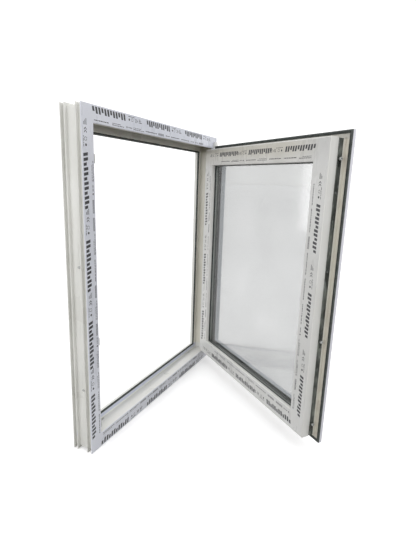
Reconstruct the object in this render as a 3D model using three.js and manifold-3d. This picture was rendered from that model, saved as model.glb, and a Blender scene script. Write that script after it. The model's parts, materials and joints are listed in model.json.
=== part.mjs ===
// A side-hung casement window of welded hollow plastic profiles, opening into the room.
// Millimetres, +Z up. The origin is the bottom centre of the outer frame, in the plane of its
// room-side face: +X points to the hinge jamb and +Y to the outside of the house.
// Sections are drawn as (r, y): r runs inwards from the outer edge of the frame, y runs outwards.
// The sash is drawn shut and then turned open about its hinge pins.
import * as THREE from "three";
import { mergeVertices } from "three/addons/utils/BufferGeometryUtils.js";
import Module from "manifold-3d";

const WIDTH = 850;
const HEIGHT = 1000;
const DEPTH = 70;
const OPEN_ANGLE = THREE.MathUtils.degToRad(51);

const GAP = 0.3; // clearance between touching pieces
const WALL = 2.8; // outer walls of the profiles
const WEB = 1.5; // walls between the chambers, and of the steel bars
const STEEL_CLEARANCE = 4; // from the end of a steel bar to the inside corner of the profiles

// Frame profile
const FACE = 45.7; // width of the room-side face
const FLOOR_DROP = 4.5; // fall of the rebate floor towards the outside
const UPSTAND_Y = 55; // inner face of the upstand on the outside
const UPSTAND_TOP = 65;
const CHANNEL = 9; // depth of the channels round the outer edge
const SEAT_R = 59.4; // gasket seat in the corner of the upstand
const SEAT_Y = 58.2;
const FRAME_LEGS = [
  [0, WALL],
  [16, 16 + WALL],
  [53, 53 + WALL],
  [DEPTH - WALL, DEPTH],
];

// Sash profile
const FLANGE_R = 36; // tip of the flange that covers the frame
const FLANGE_BACK = -3.5;
const FLANGE_SEAT = 43; // inner edge of the gasket seat behind the flange
const SASH_ROOM = -17.5;
const SASH_OUT = 50.5;
const SIDE_R = 56; // side of the sash inside the rebate
const GLAZING_R = 101; // floor of the glazing rebate
const SIGHT_R = 119.4; // edge of the visible glass
const LIP_Y = 38; // inner face of the glazing lip on the outside

// Hardware groove round the sash
const GROOVE_Y = 15.3; // middle of the groove
const GROOVE_HALF = 6.3;
const GROOVE_R = 68.5;
const PLATE_HALF = 8;
const PLATE_THICK = 2.6;
const PLATE_SEAT_R = SIDE_R + PLATE_THICK + GAP;

// Glass unit: two 4 mm panes with a 16 mm space between them
const GLASS_R = 106;
const PANE = 4;
const GLASS_SPACE = 16;
const GLASS_ROOM = 10;
const GLASS_OUT = GLASS_ROOM + 2 * PANE + GLASS_SPACE;

// Hinges
const HINGE_X = WIDTH / 2 - 27;
const HINGE_Y = -8;
const PIN_RADIUS = 4;
const BORE_RADIUS = PIN_RADIUS + GAP;
const KNUCKLE_RADIUS = 7;
const COVER_RADIUS = 8.4;
const HINGE_LEAF = 2.6;
const BEARING_LEVELS = [22, 60];
const ARM_LEVELS = [60.4, 104.4];

// Lock drive: a rod slides down to lock, geared to a quarter turn of the handle spindle
const HANDLE_Z = 500;
const TRAVEL = 18;
const TEETH = 24;
const PITCH_RADIUS = TRAVEL / (Math.PI / 2);
const TOOTH_PITCH = (2 * Math.PI * PITCH_RADIUS) / TEETH;
const BACKLASH = 0.35;
const ADDENDUM = 0.9;
const DEDENDUM = 1.2;
const ROD_R = PLATE_SEAT_R;
const ROD_THICK = 2.3;
const ROD_HALF = 4;
const ROD_LEVELS = [86, 900];
const PITCH_R = ROD_R + ROD_THICK + DEDENDUM;
const SPINDLE_R = PITCH_R + PITCH_RADIUS;
const CASE_R = PITCH_R - 0.4;
const CASE_HALF = 40;
const CAM_LEVELS = { cam_top: 889, cam_middle: 369, cam_bottom: 97 };
const CAM_TIP_R = 47.8;
const CAM_RADIUS = 4.6;
const CAM_SHANK = 3.1;
const PLATE_LEVELS = [58, 549, 942];
const PLATE_SCREW_LEVELS = [215, 580, 800];
const STEEL_SCREW_LEVELS = [200, 573];
const STEEL_SCREW_Y = 32;

// Drainage of the sill
const DRAIN_X = 311;
const OUTLET_X = 251;
const OUTLET_LEVELS = [14, 19];
const CAP_WIDTH = 42;

const MATERIALS = {
  pvc: { color: 0xdcdcd8, roughness: 0.35, metalness: 0 },
  steel: { color: 0xa9adb0, roughness: 0.45, metalness: 0.9 },
  hardware: { color: 0x4b514c, roughness: 0.5, metalness: 0.7 },
  fitting: { color: 0xb9bcbc, roughness: 0.4, metalness: 0.9 },
  rubber: { color: 0x3b403c, roughness: 0.8, metalness: 0 },
  glass: { color: 0xd3d9d8, roughness: 0.05, metalness: 0 },
  sealant: { color: 0x26282a, roughness: 0.7, metalness: 0 },
  packer: { color: 0x3c6ea8, roughness: 0.5, metalness: 0 },
};

const wasm = await Module();
wasm.setup();

// ---- solids ----

function solidOf(geometry) {
  const bare = new THREE.BufferGeometry();
  bare.setAttribute("position", geometry.getAttribute("position"));
  bare.setIndex(geometry.index);
  const merged = mergeVertices(bare, 1e-4);
  return new wasm.Manifold(
    new wasm.Mesh({
      numProp: 3,
      vertProperties: merged.attributes.position.array,
      triVerts: new Uint32Array(merged.index.array),
    }),
  );
}

function geometryOf(solid) {
  const mesh = solid.getMesh();
  const geometry = new THREE.BufferGeometry();
  geometry.setAttribute("position", new THREE.BufferAttribute(mesh.vertProperties, mesh.numProp));
  geometry.setIndex(new THREE.BufferAttribute(mesh.triVerts, 1));
  geometry.computeVertexNormals();
  return geometry;
}

function cut(geometry, tools) {
  return geometryOf(tools.reduce((solid, tool) => solid.subtract(solidOf(tool)), solidOf(geometry)));
}

function join(geometries) {
  return geometryOf(geometries.map(solidOf).reduce((solid, other) => solid.add(other)));
}

// A box between two opposite corners.
function box(corner, opposite) {
  const size = corner.map((value, axis) => Math.abs(opposite[axis] - value));
  const middle = corner.map((value, axis) => (opposite[axis] + value) / 2);
  return new THREE.BoxGeometry(...size).translate(...middle);
}

// A round bar along one axis; at gives its place on the other two axes.
function bar(axis, radius, start, end, at, segments = 24) {
  const geometry = new THREE.CylinderGeometry(radius, radius, Math.abs(end - start), segments);
  const middle = (start + end) / 2;
  if (axis === "x") geometry.rotateZ(Math.PI / 2).translate(middle, at[0], at[1]);
  if (axis === "y") geometry.translate(at[0], middle, at[1]);
  if (axis === "z") geometry.rotateX(Math.PI / 2).translate(at[0], at[1], middle);
  return geometry;
}

// A piece turned about an axis along X; its profile is (radius, x).
function turned(profile, y, z, segments = 20) {
  const points = profile.map(([radius, x]) => new THREE.Vector2(radius, x));
  return new THREE.LatheGeometry(points, segments).rotateZ(-Math.PI / 2).translate(0, y, z);
}

// A slot through a wall along X, with round ends, between two heights.
function slotCuts(lowX, highX, y, halfWidth, lowZ, highZ) {
  return [
    box([lowX, y - halfWidth, lowZ + halfWidth], [highX, y + halfWidth, highZ - halfWidth]),
    bar("x", halfWidth, lowX, highX, [y, lowZ + halfWidth], 16),
    bar("x", halfWidth, lowX, highX, [y, highZ - halfWidth], 16),
  ];
}

function arc(centreR, centreY, radius, from, to, steps) {
  return Array.from({ length: steps + 1 }, (_, i) => {
    const angle = THREE.MathUtils.degToRad(from + ((to - from) * i) / steps);
    return [centreR + radius * Math.cos(angle), centreY + radius * Math.sin(angle)];
  });
}

function rectangle(lowA, highA, lowB, highB) {
  return [
    [lowA, lowB],
    [highA, lowB],
    [highA, highB],
    [lowA, highB],
  ];
}

function vectors(points) {
  return points.map(([a, b]) => new THREE.Vector2(a, b));
}

function shapeOf(outline, chambers = []) {
  const shape = new THREE.Shape(vectors(outline));
  shape.holes = chambers.map((points) => new THREE.Path(vectors(points)));
  return shape;
}

// A plate whose outline is drawn in (x, z), between two depths.
function plate(outline, lowY, highY) {
  const options = { depth: highY - lowY, bevelEnabled: false };
  const geometry = new THREE.ExtrudeGeometry(shapeOf(outline), options);
  return geometry.rotateX(Math.PI / 2).translate(0, highY, 0);
}

// ---- the four sides: local +X runs inwards, local +Z runs along the side ----

const SIDES = {
  lock: { turn: 0, x: -WIDTH / 2, z: HEIGHT / 2, length: HEIGHT },
  head: { turn: Math.PI / 2, x: 0, z: HEIGHT, length: WIDTH },
  hinge: { turn: Math.PI, x: WIDTH / 2, z: HEIGHT / 2, length: HEIGHT },
  sill: { turn: -Math.PI / 2, x: 0, z: 0, length: WIDTH },
};

// A length of profile with mitred ends, each half the seam short of its mitre plane.
function mitred(side, outline, chambers) {
  const options = { depth: 1, steps: 1, bevelEnabled: false };
  const geometry = new THREE.ExtrudeGeometry(shapeOf(outline, chambers), options);
  const positions = geometry.getAttribute("position");
  for (let i = 0; i < positions.count; i++) {
    const length = SIDES[side].length - 2 * positions.getX(i) - GAP;
    positions.setZ(i, (positions.getZ(i) - 0.5) * length);
  }
  return geometry;
}

// A length of bar with square ends that stops short of the corners.
function squareCut(side, outline) {
  const reach = Math.max(...outline.map(([r]) => r));
  const length = SIDES[side].length - 2 * (reach + STEEL_CLEARANCE);
  const options = { depth: length, bevelEnabled: false };
  return new THREE.ExtrudeGeometry(shapeOf(outline), options).translate(0, 0, -length / 2);
}

// A closed ring of one section that runs round all four sides.
function ring(section) {
  const outline = THREE.ShapeUtils.isClockWise(vectors(section)) ? section.toReversed() : section;
  const count = outline.length;
  const positions = [];
  for (const [right, up] of rectangle(-1, 1, 0, 1)) {
    for (const [r, y] of outline) {
      positions.push(right * (WIDTH / 2 - r), y, up ? HEIGHT - r : r);
    }
  }
  const index = [];
  for (let corner = 0; corner < 4; corner++) {
    for (let i = 0; i < count; i++) {
      const next = (i + 1) % count;
      const here = corner * count;
      const there = ((corner + 1) % 4) * count;
      index.push(here + i, there + i, here + next, here + next, there + i, there + next);
    }
  }
  const geometry = new THREE.BufferGeometry();
  geometry.setAttribute("position", new THREE.Float32BufferAttribute(positions, 3));
  geometry.setIndex(index);
  geometry.computeVertexNormals();
  return geometry;
}

function addMesh(parent, name, finish, geometry) {
  const mesh = new THREE.Mesh(geometry, new THREE.MeshStandardMaterial(MATERIALS[finish]));
  mesh.name = name;
  parent.add(mesh);
  return mesh;
}

function addSide(parent, name, finish, side, geometry) {
  const mesh = addMesh(parent, name, finish, geometry);
  mesh.rotation.y = SIDES[side].turn;
  mesh.position.set(SIDES[side].x, 0, SIDES[side].z);
  return mesh;
}

// A galvanised U bar, its web towards the outer edge of the profile that holds it.
function uBar(lowR, highR, lowY, highY) {
  return [
    [lowR, lowY],
    [highR, lowY],
    [highR, lowY + WEB],
    [lowR + WEB, lowY + WEB],
    [lowR + WEB, highY - WEB],
    [highR, highY - WEB],
    [highR, highY],
    [lowR, highY],
  ];
}

// ---- outer frame ----

function floorR(y) {
  return FACE - (FLOOR_DROP * y) / UPSTAND_Y;
}

// From the room-side face round the rebate, and back over the legs of the outer edge.
function frameOutline() {
  const outline = [
    [0, 0],
    ...arc(FACE - 1.5, 1.5, 1.5, -90, 0, 3),
    [floorR(UPSTAND_Y), UPSTAND_Y],
    [SEAT_R, UPSTAND_Y],
    [SEAT_R, SEAT_Y],
    [UPSTAND_TOP, SEAT_Y],
    [UPSTAND_TOP, DEPTH - 1.5],
    [UPSTAND_TOP - 1.5, DEPTH],
    [0, DEPTH],
  ];
  for (let leg = FRAME_LEGS.length - 1; leg > 0; leg--) {
    const near = FRAME_LEGS[leg][0];
    const next = FRAME_LEGS[leg - 1][1];
    outline.push([0, near], [CHANNEL, near], [CHANNEL, next], [0, next]);
  }
  return outline;
}

// Chambers from the room to the outside; the last one bends into the upstand.
function frameChambers() {
  const low = CHANNEL + WALL;
  const under = (y) => floorR(y) - WALL;
  const chambers = [
    [3, 13.6],
    [15, 43.5],
    [45, 56.4],
  ].map(([start, end]) => [
    [low, start],
    [under(start), start],
    [under(end), end],
    [low, end],
  ]);
  chambers.push([
    [low, 58.4],
    [SEAT_R - WALL, 58.4],
    [SEAT_R - WALL, SEAT_Y + WALL],
    [UPSTAND_TOP - WALL, SEAT_Y + WALL],
    [UPSTAND_TOP - WALL, DEPTH - WALL],
    [low, DEPTH - WALL],
  ]);
  return chambers;
}

const FRAME_STEEL = uBar(12.4, 38.4, 15.6, 42.9);
const FRAME_GASKET = [
  [59.7, 55.3],
  [59.7, 57.9],
  [65.4, 57.9],
  [65.6, 55.4],
  [64.2, 51.6],
  [62.8, 51],
  [61.2, 52.6],
];

// Slots in the rebate floor let water into the drainage chamber, and offset slots let it out.
function drainCuts() {
  const tools = [];
  for (const hand of [-1, 1]) {
    const drain = hand * DRAIN_X;
    const outlet = hand * OUTLET_X;
    tools.push(box([34, 47.5, drain - 7], [46, 53.5, drain + 7]));
    tools.push(box([14, 55, outlet - 5], [20, 60, outlet + 5]));
    tools.push(box([OUTLET_LEVELS[0], 65, outlet - 14], [OUTLET_LEVELS[1], DEPTH + 1, outlet + 14]));
  }
  return tools;
}

// Hooded cap over a drain outlet, open at the back and underneath.
function drainCap() {
  const back = DEPTH + GAP;
  const [low, slope, top] = [11, 14, 26];
  const hood = [
    [back, low],
    [back, top],
    [back + 1, top],
    [back + 4.2, slope],
    [back + 4.2, low],
  ];
  const shell = new THREE.ExtrudeGeometry(shapeOf(hood), { depth: CAP_WIDTH, bevelEnabled: false });
  // The hood is drawn in (y, z) and runs along X.
  const turn = new THREE.Matrix4().set(0, 0, 1, 0, 1, 0, 0, 0, 0, 1, 0, 0, 0, 0, 0, 1);
  shell.applyMatrix4(turn).translate(-CAP_WIDTH / 2, 0, 0);
  const inside = CAP_WIDTH / 2 - WEB;
  return cut(shell, [
    box([-inside, back - 1, low - 1], [inside, back + 1, top - 3]),
    box([-inside, back, low - 1], [inside, back + 3, slope + 2]),
  ]);
}

// A keep screwed to the lock jamb: the cam slides down behind its raised lip.
function keep(camLevel) {
  const locked = camLevel - TRAVEL;
  const base = [
    [floorR(3) + GAP, 3],
    [CAM_TIP_R - 0.7, 3],
    [CAM_TIP_R - 0.7, 28],
    [floorR(28) + GAP, 28],
  ];
  const foot = new THREE.ExtrudeGeometry(shapeOf(base), { depth: 66, bevelEnabled: false });
  foot.translate(0, 0, locked - 26);
  const lip = box([CAM_TIP_R - 1.5, 3, locked - 18], [52, GROOVE_Y - CAM_RADIUS - 0.6, locked + 7]);
  const stop = box([CAM_TIP_R - 1.5, 3, locked - 18], [50.5, 24, locked - 15]);
  const screwHoles = [-21, 34].map((rise) => bar("x", 2.2, 40, 55, [GROOVE_Y, locked + rise], 16));
  return cut(join([foot, lip, stop]), screwHoles);
}

// The level of a hinge piece: the top hinge is the bottom one upside down.
function hingeLevel(end, level) {
  return end === "top" ? HEIGHT - level : level;
}

function hingeBearing(end) {
  const [low, high] = BEARING_LEVELS.map((level) => hingeLevel(end, level));
  const blindEnd = hingeLevel(end, BEARING_LEVELS[0] + 4);
  const body = join([
    bar("z", KNUCKLE_RADIUS, low, high, [HINGE_X, HINGE_Y]),
    box([HINGE_X - 5, HINGE_Y, low], [HINGE_X + 5, -GAP - 1, high]),
    box([HINGE_X - 7, -GAP - 3, low], [WIDTH / 2 - 6, -GAP, high]),
  ]);
  const beyond = hingeLevel(end, BEARING_LEVELS[1] + 1);
  const bore = bar("z", BORE_RADIUS, blindEnd, beyond, [HINGE_X, HINGE_Y]);
  return cut(body, [bore]);
}

function hingePin(end) {
  const low = hingeLevel(end, BEARING_LEVELS[0] + 4 + GAP);
  const high = hingeLevel(end, ARM_LEVELS[1] - 2);
  return bar("z", PIN_RADIUS, low, high, [HINGE_X, HINGE_Y]);
}

// Cup-shaped cover over the bearing, open towards the frame.
function hingeCover(end) {
  const closed = hingeLevel(end, BEARING_LEVELS[0] - 2.5);
  const inside = hingeLevel(end, BEARING_LEVELS[0] - GAP);
  const rim = hingeLevel(end, BEARING_LEVELS[1] - 0.4);
  const beyond = hingeLevel(end, BEARING_LEVELS[1] + 1);
  const cup = bar("z", COVER_RADIUS, closed, rim, [HINGE_X, HINGE_Y], 32);
  return cut(cup, [
    bar("z", KNUCKLE_RADIUS + GAP, inside, beyond, [HINGE_X, HINGE_Y], 32),
    box([HINGE_X - 10, -GAP - 3 - GAP, closed - 50], [HINGE_X + 10, 5, closed + 50]),
    box([HINGE_X - 5 - GAP, HINGE_Y, inside], [HINGE_X + 5 + GAP, 5, beyond]),
  ]);
}

// Self-drilling screw that holds the steel bar, its head in the channel of the jamb.
function steelScrew(level) {
  const profile = [
    [0, CHANNEL - 2.4],
    [3.4, CHANNEL - 2],
    [4, CHANNEL - GAP],
    [2, CHANNEL - GAP],
    [2, 20],
    [0, 24],
  ];
  return turned(profile, STEEL_SCREW_Y, level);
}

function buildFrame() {
  const frame = new THREE.Group();
  const rails = { head: "head", sill: "sill", lock: "jamb_lock", hinge: "jamb_hinge" };
  const screwHoles = STEEL_SCREW_LEVELS.map((level) =>
    bar("x", 2.4, 5, 20, [STEEL_SCREW_Y, level - HEIGHT / 2], 16),
  );
  const cuts = { head: [], sill: drainCuts(), lock: screwHoles, hinge: [] };
  for (const [side, name] of Object.entries(rails)) {
    const profile = mitred(side, frameOutline(), frameChambers());
    const steel = squareCut(side, FRAME_STEEL);
    const drilled = side === "lock" ? cut(steel, screwHoles) : steel;
    addSide(frame, "frame_" + name, "pvc", side, cut(profile, cuts[side]));
    addSide(frame, "frame_steel_" + name, "steel", side, drilled);
  }
  addMesh(frame, "frame_gasket", "rubber", ring(FRAME_GASKET));
  for (const hand of [-1, 1]) {
    const cap = addMesh(frame, hand < 0 ? "drain_cap_left" : "drain_cap_right", "pvc", drainCap());
    cap.position.x = hand * OUTLET_X;
  }
  const lockJamb = new THREE.Group();
  lockJamb.position.x = -WIDTH / 2;
  frame.add(lockJamb);
  for (const [cam, level] of Object.entries(CAM_LEVELS)) {
    addMesh(lockJamb, cam.replace("cam", "keep"), "fitting", keep(level));
  }
  STEEL_SCREW_LEVELS.forEach((level, i) => {
    addMesh(lockJamb, "steel_screw_" + (i + 1), "steel", steelScrew(level));
  });
  for (const end of ["bottom", "top"]) {
    addMesh(frame, "hinge_bearing_" + end, "fitting", hingeBearing(end));
    addMesh(frame, "hinge_pin_" + end, "steel", hingePin(end));
    addMesh(frame, "hinge_cover_" + end, "pvc", hingeCover(end));
  }
  return frame;
}

// ---- sash ----

// From the flange along its gasket seat, the hardware groove, the outside face and the rebate.
function sashOutline() {
  const seatBack = FLANGE_BACK - 2;
  return [
    ...arc(FLANGE_R + 5, SASH_ROOM + 5, 5, -90, -180, 4),
    [FLANGE_R, seatBack],
    [FLANGE_SEAT, seatBack],
    [FLANGE_SEAT, FLANGE_BACK],
    [SIDE_R, FLANGE_BACK],
    [SIDE_R, GROOVE_Y - PLATE_HALF - GAP],
    [PLATE_SEAT_R, GROOVE_Y - PLATE_HALF - GAP],
    [PLATE_SEAT_R, GROOVE_Y - GROOVE_HALF],
    [GROOVE_R, GROOVE_Y - GROOVE_HALF],
    [GROOVE_R, GROOVE_Y + GROOVE_HALF],
    [PLATE_SEAT_R, GROOVE_Y + GROOVE_HALF],
    [PLATE_SEAT_R, GROOVE_Y + PLATE_HALF + GAP],
    [SIDE_R, GROOVE_Y + PLATE_HALF + GAP],
    [SIDE_R, SASH_OUT - 1.5],
    [SIDE_R + 1.5, SASH_OUT],
    ...arc(SIGHT_R - 2, SASH_OUT - 2, 2, 90, 0, 3),
    [SIGHT_R + 0.6, LIP_Y],
    [GLAZING_R, LIP_Y],
    [GLAZING_R, SASH_ROOM],
  ];
}

const SASH_CHAMBERS = [
  // behind the flange
  [
    [FLANGE_R + 3.2, SASH_ROOM + WALL],
    [GROOVE_R, SASH_ROOM + WALL],
    [GROOVE_R, GROOVE_Y - PLATE_HALF - 2],
    [SIDE_R + WALL, GROOVE_Y - PLATE_HALF - 2],
    [SIDE_R + WALL, FLANGE_BACK - WALL],
    [FLANGE_SEAT + 1.5, FLANGE_BACK - WALL],
    [FLANGE_SEAT + 1.5, FLANGE_BACK - 5],
    [FLANGE_R + 3.2, FLANGE_BACK - 5],
  ],
  // main chamber with the steel bar
  rectangle(GROOVE_R + WALL, GLAZING_R - WALL, SASH_ROOM + 5.3, 30.5),
  // outside chamber, running up into the glazing lip
  [
    [SIDE_R + WALL, 30.5 + WALL],
    [GLAZING_R - WALL, 30.5 + WALL],
    [GLAZING_R - WALL, LIP_Y + WALL],
    [SIGHT_R - WALL, LIP_Y + WALL],
    [SIGHT_R - WALL, SASH_OUT - WALL],
    [SIDE_R + WALL, SASH_OUT - WALL],
  ],
];
const SASH_STEEL = uBar(GROOVE_R + WALL + 0.6, GLAZING_R - WALL - 0.6, SASH_ROOM + 5.9, 29.9);

const SASH_GASKET = [
  [FLANGE_R + 0.2, FLANGE_BACK - 1.7],
  [FLANGE_SEAT - GAP, FLANGE_BACK - 1.7],
  [FLANGE_SEAT - GAP, -2.6],
  [40.4, -0.7],
  [37.4, -0.7],
  [FLANGE_R + 0.2, -2],
];
const GLAZING_GASKET = [
  [109, GLASS_OUT + GAP],
  [SIGHT_R - 0.6, GLASS_OUT + GAP],
  [SIGHT_R + 1, LIP_Y - 1.2],
  [SIGHT_R + 0.4, LIP_Y - GAP],
  [109, LIP_Y - GAP],
];
const BEAD_GASKET = [
  [110, GLASS_ROOM - 3.5],
  [SIGHT_R, GLASS_ROOM - 3.5],
  [SIGHT_R + 0.8, GLASS_ROOM - 2.4],
  [SIGHT_R - 0.6, GLASS_ROOM - GAP],
  [110, GLASS_ROOM - GAP],
];
const SPACE_LOW = GLASS_ROOM + PANE + GAP;
const SPACE_HIGH = GLASS_OUT - PANE - GAP;
const EDGE_SEAL = rectangle(GLASS_R, 109.7, SPACE_LOW, SPACE_HIGH);
// A channel-shaped spacer bar, open towards the edge of the glass.
const SPACER = [
  [110, SPACE_LOW],
  [116.5, SPACE_LOW],
  [116.5, SPACE_HIGH],
  [110, SPACE_HIGH],
  [110, SPACE_HIGH - 0.8],
  [115.7, SPACE_HIGH - 0.8],
  [115.7, SPACE_LOW + 0.8],
  [110, SPACE_LOW + 0.8],
];

const BEAD_FRONT = GLASS_ROOM - 3.8;
const BEAD_OUTLINE = [
  [GLAZING_R + GAP, SASH_ROOM + 0.5],
  ...arc(SIGHT_R - 10, SASH_ROOM + 10.5, 10, -90, 0, 5),
  [SIGHT_R, BEAD_FRONT],
  [GLAZING_R + GAP, BEAD_FRONT],
];
const BEAD_CHAMBER = [
  [GLAZING_R + 2, SASH_ROOM + 2.2],
  ...arc(SIGHT_R - 10, SASH_ROOM + 10.5, 8.3, -90, 0, 4),
  [SIGHT_R - 1.7, BEAD_FRONT - 1.7],
  [GLAZING_R + 2, BEAD_FRONT - 1.7],
];

function pane(lowY) {
  return box([GLASS_R - WIDTH / 2, lowY, GLASS_R], [WIDTH / 2 - GLASS_R, lowY + PANE, HEIGHT - GLASS_R]);
}

// Packers carry the glass clear of the rebate floor.
function addPackers(sash) {
  const low = GLAZING_R + GAP;
  const high = GLASS_R - GAP;
  const depths = [GLASS_ROOM + 1, GLASS_OUT - 1];
  const [sideLow, sideHigh] = [WIDTH / 2 - low, WIDTH / 2 - high];
  const places = {
    packer_bottom_hinge: [[210, low], [310, high]],
    packer_bottom_lock: [[-310, low], [-210, high]],
    packer_top_lock: [[-310, HEIGHT - low], [-210, HEIGHT - high]],
    packer_hinge_stile: [[sideLow, 180], [sideHigh, 280]],
  };
  for (const [name, [from, to]] of Object.entries(places)) {
    addMesh(sash, name, "packer", box([from[0], depths[0], from[1]], [to[0], depths[1], to[1]]));
  }
}

function armSpan(end) {
  return ARM_LEVELS.map((level) => hingeLevel(end, level));
}

// Knuckle, leaf through the gap behind the flange, and strap along the side of the hinge stile.
function hingeArm(end) {
  const [low, high] = armSpan(end);
  const strapEnd = hingeLevel(end, ARM_LEVELS[1] + 45);
  const sideX = WIDTH / 2 - SIDE_R + GAP;
  const backY = FLANGE_BACK + GAP;
  const body = join([
    bar("z", KNUCKLE_RADIUS, low, high, [HINGE_X, HINGE_Y]),
    box([sideX, backY, low], [HINGE_X, backY + HINGE_LEAF, high]),
    box([sideX, backY, low], [sideX + HINGE_LEAF, GROOVE_Y + PLATE_HALF, strapEnd]),
  ]);
  const bore = bar("z", BORE_RADIUS, low - 60, low + 60, [HINGE_X, HINGE_Y]);
  const screwHoles = [12, 34, 56, 78].map((rise) =>
    bar("x", 2.3, sideX - 2, sideX + 5, [GROOVE_Y, hingeLevel(end, ARM_LEVELS[0] + rise)], 16),
  );
  return cut(body, [bore, ...screwHoles]);
}

// ---- lock drive, drawn in the lock stile: x is r, z is the height ----

const CASE_CAVITY_R = SPINDLE_R + PITCH_RADIUS + ADDENDUM + 0.4;
const CASE_DEPTHS = [GROOVE_Y - GROOVE_HALF + 0.6, GROOVE_Y + GROOVE_HALF - 0.6];
const HUB_RADIUS = 6.6;
const SPINDLE_HOLE = 6;
const SPINDLE_HALF = 3.6; // half of the square hole
const HANDLE_SCREW_HOLE = 5;
const HANDLE_SCREW_RISE = 21.5;

// Pocket for the gear case, holes for the handle and pilot holes for the faceplate screws.
function lockStileCuts() {
  const [low, high] = CASE_DEPTHS;
  const reach = CASE_HALF + 4;
  const handleHole = (radius, level) => bar("y", radius, SASH_ROOM - 1, 0, [SPINDLE_R, level]);
  const tools = [
    box([SIDE_R + 1, low - 0.6, HANDLE_Z - reach], [90, high + 0.6, HANDLE_Z + reach]),
    handleHole(SPINDLE_HOLE, HANDLE_Z),
    handleHole(HANDLE_SCREW_HOLE, HANDLE_Z - HANDLE_SCREW_RISE),
    handleHole(HANDLE_SCREW_HOLE, HANDLE_Z + HANDLE_SCREW_RISE),
    ...PLATE_SCREW_LEVELS.map((level) => bar("x", 2.2, GROOVE_R - 1, 78, [GROOVE_Y, level], 16)),
  ];
  return tools.map((tool) => tool.translate(0, 0, -HEIGHT / 2));
}

function faceplate(low, high) {
  const outside = SIDE_R + PLATE_THICK + 1;
  const tools = [];
  for (const level of Object.values(CAM_LEVELS)) {
    const bottom = level - TRAVEL - CAM_SHANK - 1.5;
    const top = level + CAM_SHANK + 0.7;
    tools.push(...slotCuts(SIDE_R - 1, outside, GROOVE_Y, CAM_SHANK + 0.5, bottom, top));
  }
  for (const level of PLATE_SCREW_LEVELS) {
    const countersink = [
      [0, SIDE_R - 1],
      [5.1, SIDE_R - 1],
      [2.2, SIDE_R + 1.9],
      [2.2, outside],
      [0, outside],
    ];
    tools.push(turned(countersink, GROOVE_Y, level));
  }
  const near = [SIDE_R, GROOVE_Y - PLATE_HALF, low];
  const far = [SIDE_R + PLATE_THICK, GROOVE_Y + PLATE_HALF, high];
  return cut(box(near, far), tools);
}

function plateScrew(level) {
  const profile = [
    [0, SIDE_R + 0.3],
    [3.3, SIDE_R + 0.3],
    [1.8, SIDE_R + 2.1],
    [1.8, 76],
    [0, 80],
  ];
  return turned(profile, GROOVE_Y, level);
}

// Flat bar with a rack where it meets the gear and slots that clear the faceplate screws.
function driveRod() {
  const back = ROD_R + ROD_THICK;
  const atPitch = (TOOTH_PITCH / 2 - BACKLASH) / 2;
  const slope = Math.tan(THREE.MathUtils.degToRad(20));
  const outline = [
    [ROD_R, ROD_LEVELS[0]],
    [back, ROD_LEVELS[0]],
  ];
  for (let tooth = -4; tooth < 10; tooth++) {
    const level = HANDLE_Z + (tooth + 0.5) * TOOTH_PITCH;
    const root = atPitch + DEDENDUM * slope;
    const tip = atPitch - ADDENDUM * slope;
    outline.push([back, level - root], [PITCH_R + ADDENDUM, level - tip]);
    outline.push([PITCH_R + ADDENDUM, level + tip], [back, level + root]);
  }
  outline.push([back, ROD_LEVELS[1]], [ROD_R, ROD_LEVELS[1]]);
  const slots = PLATE_SCREW_LEVELS.flatMap((level) =>
    slotCuts(ROD_R - 1, back + 1, GROOVE_Y, 2.3, level - 3, level + TRAVEL + 3),
  );
  return cut(plate(outline, GROOVE_Y - ROD_HALF, GROOVE_Y + ROD_HALF), slots);
}

// Roller cam on a shank that passes through a slot of the faceplate to the rod.
function cam(level) {
  const profile = [
    [0, CAM_TIP_R],
    [CAM_RADIUS - 0.8, CAM_TIP_R],
    [CAM_RADIUS, CAM_TIP_R + 0.8],
    [CAM_RADIUS, SIDE_R - 1.6],
    [CAM_SHANK, SIDE_R - 1.6],
    [CAM_SHANK, ROD_R - GAP],
    [0, ROD_R - GAP],
  ];
  const socket = bar("x", 2.2, CAM_TIP_R - 1, CAM_TIP_R + 2.5, [GROOVE_Y, level], 6);
  return cut(turned(profile, GROOVE_Y, level, 24), [socket]);
}

// Gear with a square hole for the spindle of the handle, and a hub that turns in the case.
function spindleGear() {
  const outline = [];
  const atPitch = (TOOTH_PITCH / 2 - BACKLASH) / 2;
  for (let tooth = 0; tooth < TEETH; tooth++) {
    const middle = (2 * Math.PI * tooth) / TEETH;
    const steps = [
      [PITCH_RADIUS - DEDENDUM, -atPitch - 0.25],
      [PITCH_RADIUS, -atPitch],
      [PITCH_RADIUS + ADDENDUM, -atPitch + 0.32],
      [PITCH_RADIUS + ADDENDUM, atPitch - 0.32],
      [PITCH_RADIUS, atPitch],
      [PITCH_RADIUS - DEDENDUM, atPitch + 0.25],
    ];
    for (const [radius, offset] of steps) {
      const angle = middle + offset / radius;
      outline.push([radius * Math.cos(angle), radius * Math.sin(angle)]);
    }
  }
  const gear = plate(outline, CASE_DEPTHS[0] + 1.3, CASE_DEPTHS[1] - 1.3);
  const hub = bar("y", HUB_RADIUS, CASE_DEPTHS[0] + 0.2, CASE_DEPTHS[1] - 0.2, [0, 0]);
  const square = box([-SPINDLE_HALF, 0, -SPINDLE_HALF], [SPINDLE_HALF, 30, SPINDLE_HALF]);
  return cut(join([gear, hub]), [square]).translate(SPINDLE_R, 0, HANDLE_Z);
}

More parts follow.
